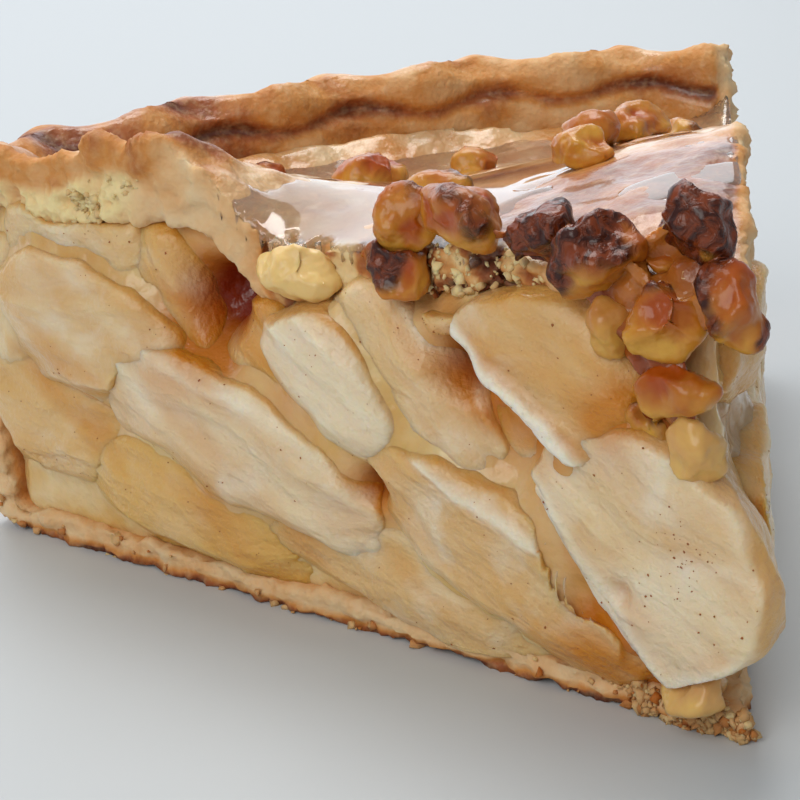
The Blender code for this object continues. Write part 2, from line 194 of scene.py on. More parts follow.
def addNode(tree, kind, settings):
    # each setting is a property of the node, or an input: a number, a hex colour or an output
    node = tree.nodes.new("ShaderNode" + kind)
    for key, value in settings.items():
        if isinstance(key, str) and hasattr(node, key):
            setattr(node, key, value)
        elif isinstance(value, bpy.types.NodeSocket):
            tree.links.new(value, node.inputs[key])
        else:
            isHex = isinstance(value, str)
            node.inputs[key].default_value = hexColour(value) if isHex else value
    return node


def newMaterial(name, settings):
    material = bpy.data.materials.new(name)
    material.use_nodes = True
    tree = material.node_tree
    shader = tree.nodes["Principled BSDF"]
    for key, value in settings.items():
        shader.inputs[key].default_value = value
    return material, tree, shader


def noiseMask(tree, size, low, high, detail=3.0, source=None, distortion=0.0):
    # 0 to 1 in patches about size across
    texture = addNode(
        tree,
        "TexNoise",
        {
            "Scale": 1 / size,
            "Detail": detail,
            "Distortion": distortion,
            "Vector": source or addNode(tree, "TexCoord", {}).outputs["Object"],
        },
    )
    spread = {"From Min": low, "From Max": high, "Value": texture.outputs["Fac"]}
    return addNode(tree, "MapRange", spread).outputs["Result"]


def layered(tree, colour, *layers):
    # lays colours over one another, each (mask, strength, colour), where a mask is an output or
    # the name of a painted value
    for mask, strength, over in layers:
        if isinstance(mask, str):
            mask = addNode(tree, "Attribute", {"attribute_name": mask}).outputs["Fac"]
        if strength != 1:
            weaker = {"operation": "MULTIPLY", 0: mask, 1: strength}
            mask = addNode(tree, "Math", weaker).outputs["Value"]
        colour = addNode(tree, "Mix", {"data_type": "RGBA", 0: mask, 6: colour, 7: over}).outputs[2]
    return colour


def bumps(tree, shader, layers):
    # layers: (height output, depth in metres, strength)
    below = {}
    for height, depth, strength in layers:
        settings = {"Distance": depth, "Strength": strength, "Height": height, **below}
        below = {"Normal": addNode(tree, "Bump", settings).outputs["Normal"]}
    tree.links.new(below["Normal"], shader.inputs["Normal"])


def bakedPastry():
    # Shortcrust pastry, rolled and oven baked: pale and mealy where cut, golden to brown where
    # the oven reached it, darker as painted shade in hollows, dull but for where glaze has run
    material, tree, shader = newMaterial(
        "baked shortcrust pastry",
        {
            "IOR": 1.45,
            "Subsurface Weight": 0.18,
            "Subsurface Radius": (1.0, 0.55, 0.25),
            "Subsurface Scale": 1.2 * mm,
            "Coat Roughness": 0.12,
        },
    )
    baked = addNode(tree, "Attribute", {"attribute_name": "baked"}).outputs["Fac"]
    blotch = noiseMask(tree, 5 * mm, 0.3, 0.7)
    mottled = addNode(tree, "Math", {"operation": "MULTIPLY_ADD", 0: blotch, 1: 0.30, 2: baked})
    shade = addNode(tree, "ValToRGB", {"Fac": mottled.outputs["Value"]})
    ramp = shade.color_ramp
    colours = ("#E4CEA6", "#E3B783", "#D08C44", "#A65C2A", "#682F14")  # raw to nearly burnt
    while len(ramp.elements) < len(colours):
        ramp.elements.new(0.5)
    for index, (element, colour) in enumerate(zip(ramp.elements, colours)):
        element.position = index / (len(colours) - 1)
        element.color = hexColour(colour)
    grains = noiseMask(tree, 1.1 * mm, 0.45, 0.75, 3.0)
    colour = layered(
        tree, shade.outputs["Color"], (grains, 0.22, "#EBCF9C"), ("buttery", 1, "#F6E2A6")
    )
    tree.links.new(colour, shader.inputs["Base Color"])
    wet = addNode(tree, "Attribute", {"attribute_name": "wet"}).outputs["Fac"]
    rough = addNode(tree, "MapRange", {"To Min": 0.62, "To Max": 0.34, "Value": wet})
    tree.links.new(rough.outputs["Result"], shader.inputs["Roughness"])
    coat = addNode(tree, "Math", {"operation": "MULTIPLY", 0: wet, 1: 0.7})
    tree.links.new(coat.outputs["Value"], shader.inputs["Coat Weight"])
    meal = noiseMask(tree, 0.7 * mm, 0.3, 0.7, 4.0)
    bubbles = noiseMask(tree, 2.2 * mm, 0.35, 0.7, 2.0)
    bumps(tree, shader, ((meal, 0.12 * mm, 0.6), (bubbles, 0.35 * mm, 0.5)))
    return material


def bakedApple():
    # Peeled apple, sliced and baked soft: cream to beige, a little see-through, wet with juice,
    # with painted highlights along raised edges, amber where juice has soaked in, and amber to
    # dark red-brown as painted shade in the gaps and holes
    material, tree, shader = newMaterial(
        "baked apple flesh",
        {
            "IOR": 1.38,
            "Roughness": 0.32,
            "Subsurface Weight": 0.60,
            "Subsurface Radius": (1.0, 0.72, 0.40),
            "Subsurface Scale": 2.6 * mm,
            "Coat Weight": 0.35,
            "Coat Roughness": 0.16,
        },
    )
    grain = addNode(tree, "Attribute", {"attribute_name": "grain"}).outputs["Vector"]
    cloudy = noiseMask(tree, 6 * mm, 0.35, 0.68, 3.0, grain, 0.4)
    milky = noiseMask(tree, 8 * mm, 0.50, 0.72, 4.0, None, 0.6)
    fibre = noiseMask(tree, 1.4 * mm, 0.35, 0.7, 4.0, grain, 0.8)
    colour = layered(
        tree,
        "#F0DFBA",
        ("tone", 1, "#DDA759"),
        (cloudy, 0.42, "#D9A254"),
        (milky, 0.65, "#F6EEDA"),
        (fibre, 0.15, "#C6904A"),
        ("yellow", 1, "#DCA632"),
        ("amber", 1, "#CF8522"),
        ("deep", 1, "#A43C04"),
        ("pale", 1, "#F8F1DF"),
    )
    tree.links.new(colour, shader.inputs["Base Color"])
    pores = noiseMask(tree, 0.8 * mm, 0.3, 0.7, 3.0)
    bumps(tree, shader, ((fibre, 0.22 * mm, 0.5), (pores, 0.18 * mm, 0.8)))
    return material


def setJuice():
    # Apple juices boiled down with sugar and spice, then set: amber, glossy and see-through
    material, tree, shader = newMaterial(
        "set apple juice",
        {
            "IOR": 1.40,
            "Roughness": 0.22,
            "Subsurface Weight": 0.25,
            "Subsurface Radius": (1.0, 0.45, 0.12),
            "Subsurface Scale": 2.0 * mm,
            "Coat Weight": 0.45,
            "Coat IOR": 1.4,
            "Coat Roughness": 0.05,
        },
    )
    patches = noiseMask(tree, 6 * mm, 0.35, 0.65, 3.0)
    # deep: dark red-brown, used as painted shade in gaps, holes and between the nuts
    colour = layered(
        tree, "#DDB36C", (patches, 1, "#E8CC98"), ("amber", 1, "#C8761A"), ("deep", 1, "#7A2000")
    )
    tree.links.new(colour, shader.inputs["Base Color"])
    ripples = noiseMask(tree, 2.0 * mm, 0.3, 0.7, 3.0)
    bumps(tree, shader, ((ripples, 0.3 * mm, 0.6),))
    return material


def glazedNut():
    # Chopped nuts in caramel: waxy tan flesh where broken, thin brown skin where not, all
    # under a clear shiny coat of sugar
    material, tree, shader = newMaterial(
        "chopped nut in caramel",
        {
            "IOR": 1.36,
            "Roughness": 0.34,
            "Subsurface Weight": 0.20,
            "Subsurface Radius": (1.0, 0.45, 0.12),
            "Subsurface Scale": 1.6 * mm,
            "Coat Weight": 0.45,
            "Coat IOR": 1.4,
            "Coat Roughness": 0.05,
        },
    )
    patches = noiseMask(tree, 3 * mm, 0.35, 0.65, 3.0)
    flesh = layered(
        tree, "#D6A03C", (patches, 1, "#C0741E"), ("toast", 1, "#A84806"), ("honey", 1, "#EDCB84")
    )
    veins = noiseMask(tree, 1.6 * mm, 0.40, 0.62, 3.0, None, 1.0)
    brown = layered(tree, "#7E3612", (veins, 1, "#3A1004"))
    skin = addNode(tree, "Attribute", {"attribute_name": "skin"}).outputs["Fac"]
    tree.links.new(layered(tree, flesh, (skin, 1, brown)), shader.inputs["Base Color"])
    wrinkles = addNode(tree, "Math", {"operation": "MULTIPLY", 0: veins, 1: skin}).outputs["Value"]
    bumps(tree, shader, ((wrinkles, 0.35 * mm, 0.7), (patches, 0.2 * mm, 0.4)))
    return material


def sugarGlaze():
    # Poured sugar glaze: a clear, slightly milky skin with a mirror-smooth top
    material, tree, shader = newMaterial(
        "poured sugar glaze",
        {
            "IOR": 1.48,
            "Roughness": 0.06,
            "Transmission Weight": 0.90,
            "Coat Weight": 0.6,
            "Coat Roughness": 0.03,
        },
    )
    milky = noiseMask(tree, 9 * mm, 0.35, 0.65, 2.0)
    colour = layered(tree, "#F8E8CE", (milky, 1, "#FAF4EC"))
    tree.links.new(colour, shader.inputs["Base Color"])
    return material


def pieCrumb():
    # Crumbs of pastry: dry, mealy, pale yellow to golden
    material, tree, shader = newMaterial(
        "pastry crumb",
        {
            "IOR": 1.45,
            "Roughness": 0.7,
            "Subsurface Weight": 0.25,
            "Subsurface Radius": (1.0, 0.6, 0.3),
            "Subsurface Scale": 0.8 * mm,
        },
    )
    colour = layered(tree, "#F2DDA4", ("baked", 1, "#B4661C"))
    tree.links.new(colour, shader.inputs["Base Color"])
    meal = noiseMask(tree, 0.5 * mm, 0.3, 0.7, 2.0)
    bumps(tree, shader, ((meal, 0.1 * mm, 0.6),))
    return material


def groundCinnamon():
    # Ground cinnamon soaked in juice: tiny red-brown flecks
    finishes = {"IOR": 1.5, "Roughness": 0.5, "Base Color": hexColour("#A05A1E")}
    return newMaterial("ground cinnamon", finishes)[0]


pastryFinish = bakedPastry()
appleFinish = bakedApple()
juiceFinish = setJuice()
nutFinish = glazedNut()
glazeFinish = sugarGlaze()
crumbFinish = pieCrumb()
cinnamonFinish = groundCinnamon()
print("materials made")


# Bottom crust: base, wall and crimped rim, in one
crustLook = {
    "skin": 0.6 * mm,  # size of the small faces
    "roll": 0.9 * mm,  # how deep a crimp is twisted
    "crimps": 34,  # round a whole pie
    "lumps": 0.35 * mm,
    "mealAtCut": 0.75 * mm,
    "creaseHeight": 41.2 * mm,  # the fold under the rim's lip, painted dark as shade
    "creaseWave": 0.9 * mm,
    "creaseWidth": 0.95 * mm,
    "creaseDepth": 1.25 * mm,
}


def makeBottomCrust():
    crust = copyNode("bottom_crust", "bottomCrust")
    remesh(crust, crustLook["skin"], 4, 0.6)
    places, normals = vertexArray(crust), vertexArray(crust, "normal")
    radius, angle, height = pieFrame(places)
    _, _, nearDepth = faceFrame(places)
    _, _, farDepth = faceFrame(places, "far")
    onCut = np.maximum(ease(-2.4 * mm, -1.0 * mm, nearDepth), ease(-2.4 * mm, -1.0 * mm, farDepth))
    onRim = ease(33 * mm, 39 * mm, height) * ease(99 * mm, 103 * mm, radius)
    twist = np.sin(crustLook["crimps"] * angle + 1.1 + (radius - rimRadius) / (2.6 * mm))
    relief = onRim * crustLook["roll"] * twist * (1 - onCut)
    relief += crustLook["lumps"] * lumps(places, 6 * mm, 1) * ease(0.5 * mm, 3 * mm, height)
    wave = crustLook["creaseWave"] * np.sin(crustLook["crimps"] * angle + 0.4)
    fold = (crustLook["creaseHeight"] + wave - height) / crustLook["creaseWidth"]
    crease = np.exp(-(fold**2)) * ease(107 * mm, 105.5 * mm, radius) * (1 - onCut)
    relief -= crustLook["creaseDepth"] * crease
    layers = places * np.array((1, 1, 3.2))
    relief += onCut * crustLook["mealAtCut"] * lumps(layers, 3 * mm, 5, 3, 0.6)
    places = places + normals * relief[:, None]
    places[:, 2] = np.maximum(places[:, 2], 0)
    setVertices(crust, places)
    # colour: pale ridges; painted shade in the crimps' valleys and the crease under the lip
    valley = onRim * (0.5 - 0.5 * twist) ** 1.5
    left = ease(0.1, -0.35, angle)
    baked = 0.27 + 0.12 * lumps(places, 12 * mm, 9) + (0.15 + 0.40 * left) * valley
    baked += (0.46 + 0.3 * lumps(places, 15 * mm, 19)) * crease + 0.10 * left
    baked -= 0.10 * ease(30 * mm, 38 * mm, height) * ease(101 * mm, 97 * mm, radius)
    under = ease(1.5 * mm, 0.2 * mm, height)
    baked = baked * (1 - 0.85 * onCut * (1 - under)) + 0.45 * onCut * under
    paint(crust, "baked", baked)
    wet = onRim * ease(-0.1, 0.5, lumps(places, 9 * mm, 21)) * 0.8
    paint(crust, "wet", wet * (1 - onCut))
    finish(crust, pastryFinish, "crust", "bottom_crust")
    return crust


bottomCrust = makeBottomCrust()
print("bottom crust done")


# Top crust: the lid, with a broken, crumbly edge along the near cut
lidLook = {
    "skin": 0.5 * mm,
    "lumps": 0.5 * mm,
    "mealAtCut": 0.65 * mm,
    "humpAlong": 84 * mm,  # where fruit pushes the lid up, along the near cut
    "crumbAlong": (24 * mm, 57 * mm),  # the broken, open-grained stretch of the near cut
}


def makeTopCrust():
    lid = copyNode("top_crust", "topCrust")
    remesh(lid, lidLook["skin"], 6, 0.6)
    places, normals = vertexArray(lid), vertexArray(lid, "normal")
    radius, _, height = pieFrame(places)
    along, _, nearDepth = faceFrame(places)
    _, _, farDepth = faceFrame(places, "far")
    onCut = np.maximum(ease(-1.5 * mm, -0.4 * mm, nearDepth), ease(-1.5 * mm, -0.4 * mm, farDepth))
    top = ease(0.2, 0.7, normals[:, 2])
    relief = lidLook["lumps"] * lumps(places, 9 * mm, 2, 4)
    hump = ease(24 * mm, 12 * mm, np.abs(along - lidLook["humpAlong"]))
    hump *= ease(-20 * mm, -6 * mm, nearDepth)
    bumpy = lumps(places, 7 * mm, 12, 2)
    relief += hump * top * 1.3 * mm * bumpy
    # the cut edge is mealy, and breaks away in open crumb beside the nuts
    start, end = lidLook["crumbAlong"]
    broken = ease(start - 3 * mm, start + 2 * mm, along) * ease(end + 4 * mm, end - 2 * mm, along)
    broken *= ease(-3.5 * mm, -1 * mm, nearDepth)
    meal = lumps(places * np.array((1, 1, 1.8)), 3 * mm, 7, 3, 0.6)
    relief += onCut * lidLook["mealAtCut"] * meal
    # how far below the lid's own top each place on the near cut lies
    stretches = 120  # one for each millimetre along the cut
    stretch = np.clip((along / mm).astype(int), 0, stretches - 1)
    crest = np.zeros(stretches)
    np.maximum.at(crest, stretch, np.where(nearDepth > -4 * mm, height, 0))
    below = crest[stretch] - height
    lip = hump * onCut * ease(4.6 * mm, 2.2 * mm, below + 1.2 * mm * bumpy)
    lip *= ease(68 * mm, 75 * mm, along)
    relief += lip * (0.9 + 0.9 * bumpy) * mm
    crumbly = onCut * ease(2.5 * mm, 4 * mm, below + 0.9 * mm * bumpy)
    crumbly *= ease(11 * mm, 7 * mm, below)
    crumbly *= ease(74 * mm, 80 * mm, along + 3 * mm * bumpy)
    curds = 1 - 2 * np.abs(lumps(places, 2.6 * mm, 37, 3))
    relief += crumbly * (0.5 + 0.8 * curds) * mm
    pores = lumps(places, 3.2 * mm, 31, 3, 0.6)
    relief += broken * (1.9 * mm * np.minimum(0.1, pores) - 0.5 * mm)
    setVertices(lid, places + normals * relief[:, None])
    shard = ease(46 * mm, 34 * mm, radius)
    golden = hump * (0.10 + 0.32 * ease(-0.2, 0.6, bumpy))
    # paler lid behind the hump: partly the crust's own colour, partly a painted sheen of glaze
    paleAndSheen = ease(76 * mm, 68 * mm, along) * ease(50 * mm, 58 * mm, along)
    golden -= 0.14 * paleAndSheen * ease(-28 * mm, -18 * mm, nearDepth)
    baked = 0.26 + 0.24 * lumps(places, 11 * mm, 15) + 0.45 * shard + golden
    baked = baked * top * (1 - 0.7 * onCut) + 0.06 * (1 - top)
    baked = baked * (1 - lip) + lip * (0.36 + 0.14 * bumpy + 0.10 * meal)
    # the open crumb is browner, and darkest down in its pits as painted shade
    baked += broken * (0.55 - 0.7 * pores)
    paint(lid, "baked", baked)
    paint(lid, "buttery", crumbly * (0.55 + 0.4 * curds) + 0.5 * broken * ease(0.1, 0.6, pores))
    paint(lid, "wet", top * (1 - hump * 0.8) * (1 - onCut))
    finish(lid, pastryFinish, "lid", "top_crust")
    return lid, crumbly


topCrust, humpCrumb = makeTopCrust()
print("top crust done")


# tone: 0 cream to 1 beige. yellow: translucent. ridge: a raised line along the upper (+) or
# lower (-) edge, painted pale as a highlight. soaked: amber at the rim end (+) or the point end
# (-). rise: how far the slice stands proud of the knife's plane. lean: how far its upper edge
# stands out beyond its lower; the lower-lying edge gets painted shade. white: how milky its face
# is. cutPale: a painted highlight along its trimmed edge. spread: how far it reaches over its
# neighbours, where that isn't the usual.
appleLooks = {
    1: {
        "spread": 1.7 * mm, "cutPale": 0.35, "white": 0.25, "tone": -0.10, "yellow": 0.05,
        "ridge": 0.0, "soaked": 0.0, "rise": 0.2, "lean": -0.2,
    },
    2: {"tone": 0.60, "yellow": 0.10, "ridge": 0.9, "soaked": -0.30, "rise": 0.3, "lean": 0.7},
    3: {
        "cutPale": 0.9, "tone": 0.55, "yellow": 0.10, "ridge": 0.0, "soaked": -0.35,
        "rise": 0.5, "lean": -0.8,
    },
    4: {
        "white": 0.3, "tone": 0.08, "yellow": 0.0, "ridge": 0.3, "soaked": 0.0, "rise": 0.8,
        "lean": -0.4,
    },
    5: {
        "spread": 1.7 * mm, "tone": 0.45, "yellow": 0.05, "ridge": 0.7, "soaked": 0.0,
        "rise": 0.2, "lean": 0.4,
    },
    6: {
        "white": 0.2, "tone": 0.28, "yellow": 0.0, "ridge": 0.3, "soaked": 0.0, "rise": 0.7,
        "lean": 0.3,
    },
    7: {"tone": 0.75, "yellow": 0.05, "ridge": 0.0, "soaked": -0.55, "rise": -0.5, "lean": 0.5},
    8: {"tone": 0.40, "yellow": 0.10, "ridge": -0.4, "soaked": 0.0, "rise": 0.7, "lean": -0.5},
    9: {"tone": 0.95, "yellow": 0.0, "ridge": 0.0, "soaked": 0.3, "rise": -1.2, "lean": 0.0},
    10: {"tone": 0.45, "yellow": 0.20, "ridge": 0.2, "soaked": 0.0, "rise": -0.4, "lean": -0.5},
    11: {"tone": 0.45, "yellow": 0.55, "ridge": 0.0, "soaked": 0.0, "rise": -0.1, "lean": -0.7},
    12: {"tone": 0.60, "yellow": 0.30, "ridge": 0.2, "soaked": 0.2, "rise": -0.3, "lean": 0.2},
    13: {"tone": 0.30, "yellow": 0.10, "ridge": 0.0, "soaked": 0.0, "rise": 0.0, "lean": 0.0},
    14: {"tone": 0.15, "yellow": 0.35, "ridge": 0.3, "soaked": 0.0, "rise": -0.2, "lean": 0.0},
    15: {"tone": 0.80, "yellow": 0.20, "ridge": 0.0, "soaked": -0.6, "rise": -0.3, "lean": 0.0},
    16: {"tone": 0.20, "yellow": 0.40, "ridge": 0.0, "soaked": 0.0, "rise": 0.3, "lean": 0.0},
    17: {"tone": 0.30, "yellow": 0.15, "ridge": 0.0, "soaked": 0.0, "rise": 0.0, "lean": 0.0},
}
farLook = {"tone": 0.45, "yellow": 0.12, "ridge": 0.4, "soaked": -0.2, "rise": -0.7, "lean": 0.3}
appleShape = {
    "skin": 0.5 * mm,  # size of the small faces
    "spread": 2.0 * mm,  # how far a slice reaches over its neighbours
    "farSpread": 2.8 * mm,
    "waves": 0.45 * mm,
    "fibres": 0.28 * mm,
    "facets": 0.45 * mm,
    "bend": 1.3 * mm,
    "ragged": 0.45 * mm,
    "squareness": 2.2,  # how sharply the face turns into the sides
}
# amber of juice on the near cut, and painted shade in its gaps and hollows: place along the cut,
# height, reach, strength, all but the last in mm
soakedAndShadedSpots = (
    (66, 34, 8, 1.0),
    (69, 28, 5, 0.8),
    (43, 18, 4.0, 0.9),
    (48, 16, 4.0, 0.4),
    (31.5, 34, 5, 1.0),
    (27.5, 31, 5, 1.1),
    (14, 31, 4, 0.6),
    (12.5, 34, 3, 0.9),
    (22, 28, 4, 0.8),
    (13.5, 11, 4.5, 1.3),
    (17.5, 18, 3.0, 0.5),
    (17, 6, 4, 0.7),
    (84, 19, 5, 0.6),
    (67, 12, 4, 0.5),
    (54, 11, 3.5, 0.35),
    (55, 27, 4, 0.4),
    (5.6, 21, 2.2, 0.5),
    (10, 4, 5, 0.9),
    (1.5, 10, 2.0, 0.6),
    (92, 24, 5, 0.4),
)
# where a slice is squared off: slope along the cut, up and out of it, and reach in mm
trims = {
    1: (
        (-0.713, 0.447, -0.538, 10.6),
        (-0.798, 0.0, -0.602, 3.2),
        (-0.423, -0.85, -0.319, -9.2),
        (0.776, -0.631, 0.0, 2.1),
    ),
    3: ((0.591, -0.805, 0.0, -11.6),),
}
# holes between slices: place along the cut, height, reach and depth in mm
pits = ((65.5, 35, 4.0, 6.0), (43.3, 19, 1.7, 3.5), (31.5, 34, 2.6, 5.0), (12.2, 15, 1.4, 1.2))


def spotted(along, height, spots):
    total = np.zeros(len(along))
    for spotAlong, spotHeight, reach, strength in spots:
        far = (along - spotAlong * mm) ** 2 + (height - spotHeight * mm) ** 2
        total += strength * np.exp(-far / (reach * mm) ** 2)
    return total


def sinkPits(places):
    # presses the holes into the near cut, and returns how deep each place lies
    along, height, depth = faceFrame(places)
    reach = ease(-16 * mm, -9 * mm, depth)
    pressed = spotted(along, height, pits) * mm * reach
    return places - nearOut * pressed[:, None], pressed / (4 * mm)


def makeAppleSlice(name):
    number = int(name[-2:])
    near = number in appleLooks
    look = appleLooks[number] if near else farLook
    side, out = ("near", nearOut) if near else ("far", farOut)
    piece = copyNode(name, f"appleSlice{number:02d}")
    remesh(piece, appleShape["skin"], 2, 0.5)

    # the knife leaves a flat face with square edges, and the slices lie over one another
    places, normals = vertexArray(piece), vertexArray(piece, "normal")
    along, height, depth = faceFrame(places, side)
    half = (depth.max() - depth.min()) / 2
    part = np.clip((depth - depth.min()) / half - 1, -1, 1)
    sharp = appleShape["squareness"]
    squared = (np.tanh(sharp * part) / np.tanh(sharp) - part) * half
    inPlane = normals - (normals @ out)[:, None] * out
    hole = spotted(along, height, pits) / 4 if near else 0
    reach = look.get("spread", appleShape["spread" if near else "farSpread"])
    spread = min(reach, 0.12 * np.ptp(height)) * (1 - np.clip(hole, 0, 1))
    spread = spread + appleShape["ragged"] * lumps(places, 3.5 * mm, number + 40, 3)
    setVertices(piece, places + inPlane * spread[:, None] + out * squared[:, None])
    remesh(piece, appleShape["skin"], 3, 0.5)

    places, normals = vertexArray(piece), vertexArray(piece, "normal")
    along, height, depth = faceFrame(places, side)
    acrossAxis, longAxis = np.linalg.eigh(np.cov(np.stack((along, height))))[1].T
    longAxis = longAxis * np.sign(longAxis[0])
    acrossAxis = acrossAxis * np.sign(acrossAxis[1])
    flat = np.stack((along - along.mean(), height - height.mean()), axis=1)
    length, width = flat @ longAxis, flat @ acrossAxis
    lengthPart, widthPart = length / np.abs(length).max(), width / np.abs(width).max()
    facing = normals @ out
    grain = np.stack((length * 0.30, width, depth), axis=1)
    onFace = ease(0.3, 0.9, facing)
    relief = (look["rise"] + look["lean"] * widthPart) * mm
    relief = relief + appleShape["waves"] * lumps(places, 9 * mm, number, 2)
    relief += appleShape["fibres"] * lumps(grain, 1.8 * mm, number + 20, 3) * onFace
    ridgeLine = 0.70 * np.sign(look["ridge"] or 1)
    ridgeWaver = 0.05 * lumps(places, 6 * mm, 8)
    ridge = np.exp(-(((widthPart - ridgeLine + ridgeWaver) / 0.08) ** 2))
    ridge *= ease(1.0, 0.85, np.abs(lengthPart))
    relief += 0.8 * mm * abs(look["ridge"]) * ridge * onFace
    longGrain = np.stack((length * 0.15, width, depth), axis=1)
    facets = 1 - 2 * np.abs(lumps(longGrain, 6 * mm, number + 60, 2))
    relief += appleShape["facets"] * facets * onFace
    places = places + out * relief[:, None]
    # one bend through all the slices keeps their outlines uneven without opening gaps
    for axis, seed in ((nearAlong if near else farAlong, 61), (up, 62)):
        bend = appleShape["bend"] * lumps(places, 11 * mm, seed, 3, 0.45)
        places = places + axis * (bend * ease(0, 4 * mm, places[:, 2]))[:, None]

    cutLine = np.zeros(len(places))
    for slopeAlong, slopeUp, slopeOut, limit in trims.get(number, ()):
        edgeOut = slopeAlong * nearAlong + slopeUp * up + slopeOut * nearOut
        over = (places - np.array(pieAxis)) @ edgeOut - limit * mm
        over += 0.7 * mm * lumps(places, 6 * mm, 5, 3)
        line = np.exp(-((np.minimum(0, over + 0.4 * mm) / (0.7 * mm)) ** 2))
        cutLine = np.maximum(cutLine, line * onFace * look.get("cutPale", 0))
        places = places - edgeOut * np.maximum(0, over)[:, None] * 0.92
    places = places + out * (0.7 * mm * cutLine)[:, None]
    hollow = np.zeros(len(places))
    if near:
        places, hollow = sinkPits(places)
    setVertices(piece, places)
    along, height, depth = faceFrame(places, side)
    # streaks that run down towards the point, shared by all the slices
    sloping = np.stack((along + 0.7 * height, 5 * (height - 0.7 * along), depth), axis=1)
    streaks = lumps(sloping / 5, 5 * mm, 3, 3)
    paint(piece, "tone", look["tone"] + 0.14 * lumps(places, 9 * mm, number + 3) + 0.22 * streaks)
    # where a slice turns away from the cut into the gaps, it is painted yellow and amber as shade
    yellow = look["yellow"] + 0.40 * (1 - onFace) + 0.12 * lumps(places, 6 * mm, number + 7)
    paint(piece, "yellow", yellow)
    end = ease(0.25, 1.0, lengthPart * np.sign(look["soaked"] or 1))
    amber = abs(look["soaked"]) * end + 0.30 * (1 - onFace)
    amber += (0.06 + 0.30 * max(0, look["tone"])) * streaks
    if near:
        # amber where juice has soaked in, and painted shade in the gaps and hollows between slices
        amber += spotted(along, height, soakedAndShadedSpots) * (0.75 + 0.5 * streaks)
    # painted shade along the edge that lies lower, under its neighbour
    amber += 0.35 * ease(-0.75, -1.0, widthPart * np.sign(look["lean"] or 1))
    paint(piece, "amber", amber + 0.08 * lumps(places, 4 * mm, number + 9))
    # deep: painted shade, darker down in the holes
    paint(piece, "deep", hollow * 1.2 - 0.2)
    white = look.get("white", 0) * ease(-0.5, 0.4, lumps(places, 10 * mm, number + 11)) * onFace
    # pale: painted highlight along the raised ridge and the trimmed edge, and milky patches
    paint(piece, "pale", 0.75 * abs(look["ridge"]) * ridge * onFace + cutLine + white)
    attribute = piece.data.attributes.new("grain", "FLOAT_VECTOR", "POINT")
    attribute.data.foreach_set("vector", grain.astype(np.float32).ravel())
    finish(piece, appleFinish, "apple", name)
    return piece


apples = [makeAppleSlice(name) for name in sliceNames]
print("apple slices done")


# Filling: soft apple and juice that close the gaps between the slices
juiceLook = {
    "skin": 0.62 * mm,
    "swell": 2.4 * mm,  # how far the core reaches out towards the slices
    "nearBehind": 0.9 * mm,  # how far it stays behind each knife's plane
    "farBehind": 1.6 * mm,
    "reach": 2.6 * mm,  # gaps up to twice this wide are closed
    "sink": 0.50 * mm,
}


def makeFilling():
    core = copyNode("apple_filling", "fillingCore")
    remesh(core, juiceLook["skin"])
    swell(core, juiceLook["swell"])
    places = vertexArray(core)
    for side, out in (("near", nearOut), ("far", farOut)):
        over = np.maximum(0, faceFrame(places, side)[2] + juiceLook[side + "Behind"])
        places = places - out * over[:, None]
    setVertices(core, places)
    mass = joined([core, *apples], "appleFilling")
    discard(core)
    remesh(mass, juiceLook["skin"])
    swell(mass, juiceLook["reach"])
    remesh(mass, juiceLook["skin"], 2)
    swell(mass, -juiceLook["reach"] - juiceLook["sink"])
    remesh(mass, juiceLook["skin"], 4)
    places = vertexArray(mass)
    along, height, nearDepth = faceFrame(places)
    lump = 0.18 * mm * lumps(places, 2.5 * mm, 77, 3)
    farDepth = faceFrame(places, "far")[2]
    # on the far cut the mash breaks up into rough chunks
    mash = lumps(places * np.array((1, 1, 1.6)), 8 * mm, 79, 3)
    atFar = ease(-7 * mm, -3 * mm, farDepth) * ease(0, -6 * mm, nearDepth)
    lump += atFar * 2.6 * mm * np.minimum(0, mash - 0.1)
    places, hollow = sinkPits(places + vertexArray(mass, "normal") * lump[:, None])
    setVertices(mass, places)
    # amber where juice has soaked in, and painted shade in the gaps between slices
    soak = spotted(along, height, soakedAndShadedSpots) * ease(-8 * mm, -3 * mm, nearDepth)
    paint(mass, "amber", 0.04 + soak + 0.3 * lumps(places, 7 * mm, 78) - atFar * (0.1 + 0.5 * mash))
    # deep: painted shade, darker down in the holes and the further back from the cut
    paint(mass, "deep", hollow * 1.4 - 0.2 + 0.6 * ease(-3 * mm, -7 * mm, nearDepth))
    finish(mass, juiceFinish, "filling", "apple_filling")


makeFilling()
print("filling done")


# skin: how much of the piece keeps its brown skin. toast: how deep its flesh is browned.
# honey: how pale and clear it is.
nutLooks = {
    1: {"skin": 0.95, "toast": 0.5},
    2: {"skin": 0.55, "toast": 0.55},
    3: {"skin": 1.0, "toast": 0.9},
    4: {"skin": 0.25, "toast": 0.35},
    5: {"skin": 0.30, "toast": 0.5},
    6: {"skin": 0.15, "toast": 0.35},
    7: {"skin": 0.05, "toast": 0.05, "honey": 0.15},
    8: {"skin": 0.12, "toast": 0.35},
    9: {"skin": 0.1, "toast": 0.2},
    10: {"skin": 0.45, "toast": 0.55},
    11: {"skin": 0.08, "toast": 0.45},
    12: {"skin": 0.08, "toast": 0.15, "honey": 0.1},
    13: {"skin": 0.0, "toast": -0.2, "honey": 0.45},
    14: {"skin": 0.0, "toast": 0.0, "honey": 0.9},
    15: {"skin": 0.0, "toast": 0.1, "honey": 0.5},
}
lidNutLook = {"skin": 0.12, "toast": 0.2}
nutShape = {
    "skin": 0.28 * mm,
    "lobes": 0.80 * mm,
    "wrinkles": 0.30 * mm,
    "crags": 0.24 * mm,
    "chips": 9,  # flat broken faces
}


